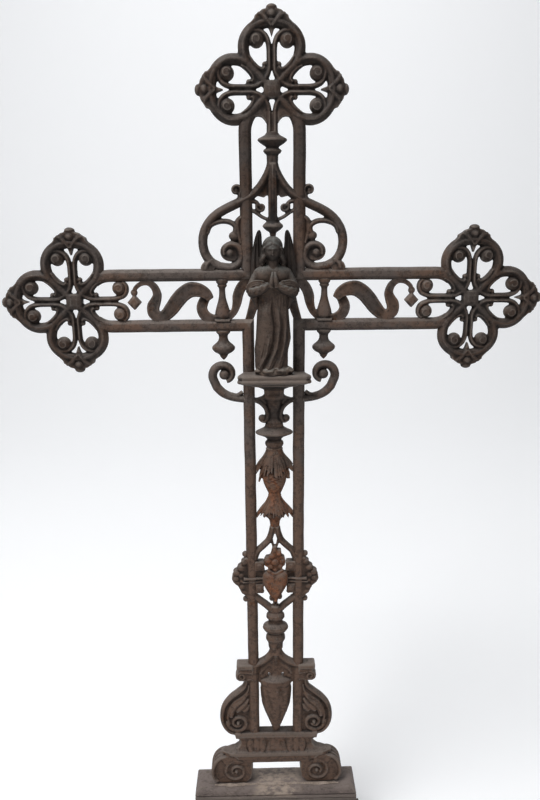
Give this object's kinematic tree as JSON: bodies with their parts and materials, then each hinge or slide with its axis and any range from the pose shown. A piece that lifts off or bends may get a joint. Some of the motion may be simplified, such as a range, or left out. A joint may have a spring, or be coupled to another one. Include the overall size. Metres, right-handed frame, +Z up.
{
  "type": "cast iron grave cross",
  "caption": "Openwork cast iron grave cross with quatrefoil ends, scrolls, ribbons, a praying angel on a console and a moulded plinth.",
  "frame": {"origin": "on the ground, centre of the base under the middle of the crossbar", "axes": "+Z up, the front with the angel faces -Y, +X to the right seen from the front"},
  "size_m": [0.9, 0.12, 1.557],
  "materials": {
    "plinth_iron": "weathered, with pale mortar dust on the top",
    "cross_iron": "old dark coating with rust bloom, browner in the hollows",
    "angel_iron": "old dark coating worn to a soft sheen"
  },
  "bodies": {
    "root": {"plinth": "plinth_iron", "cross": "cross_iron", "angel": "angel_iron"}
  },
  "joints": []
}
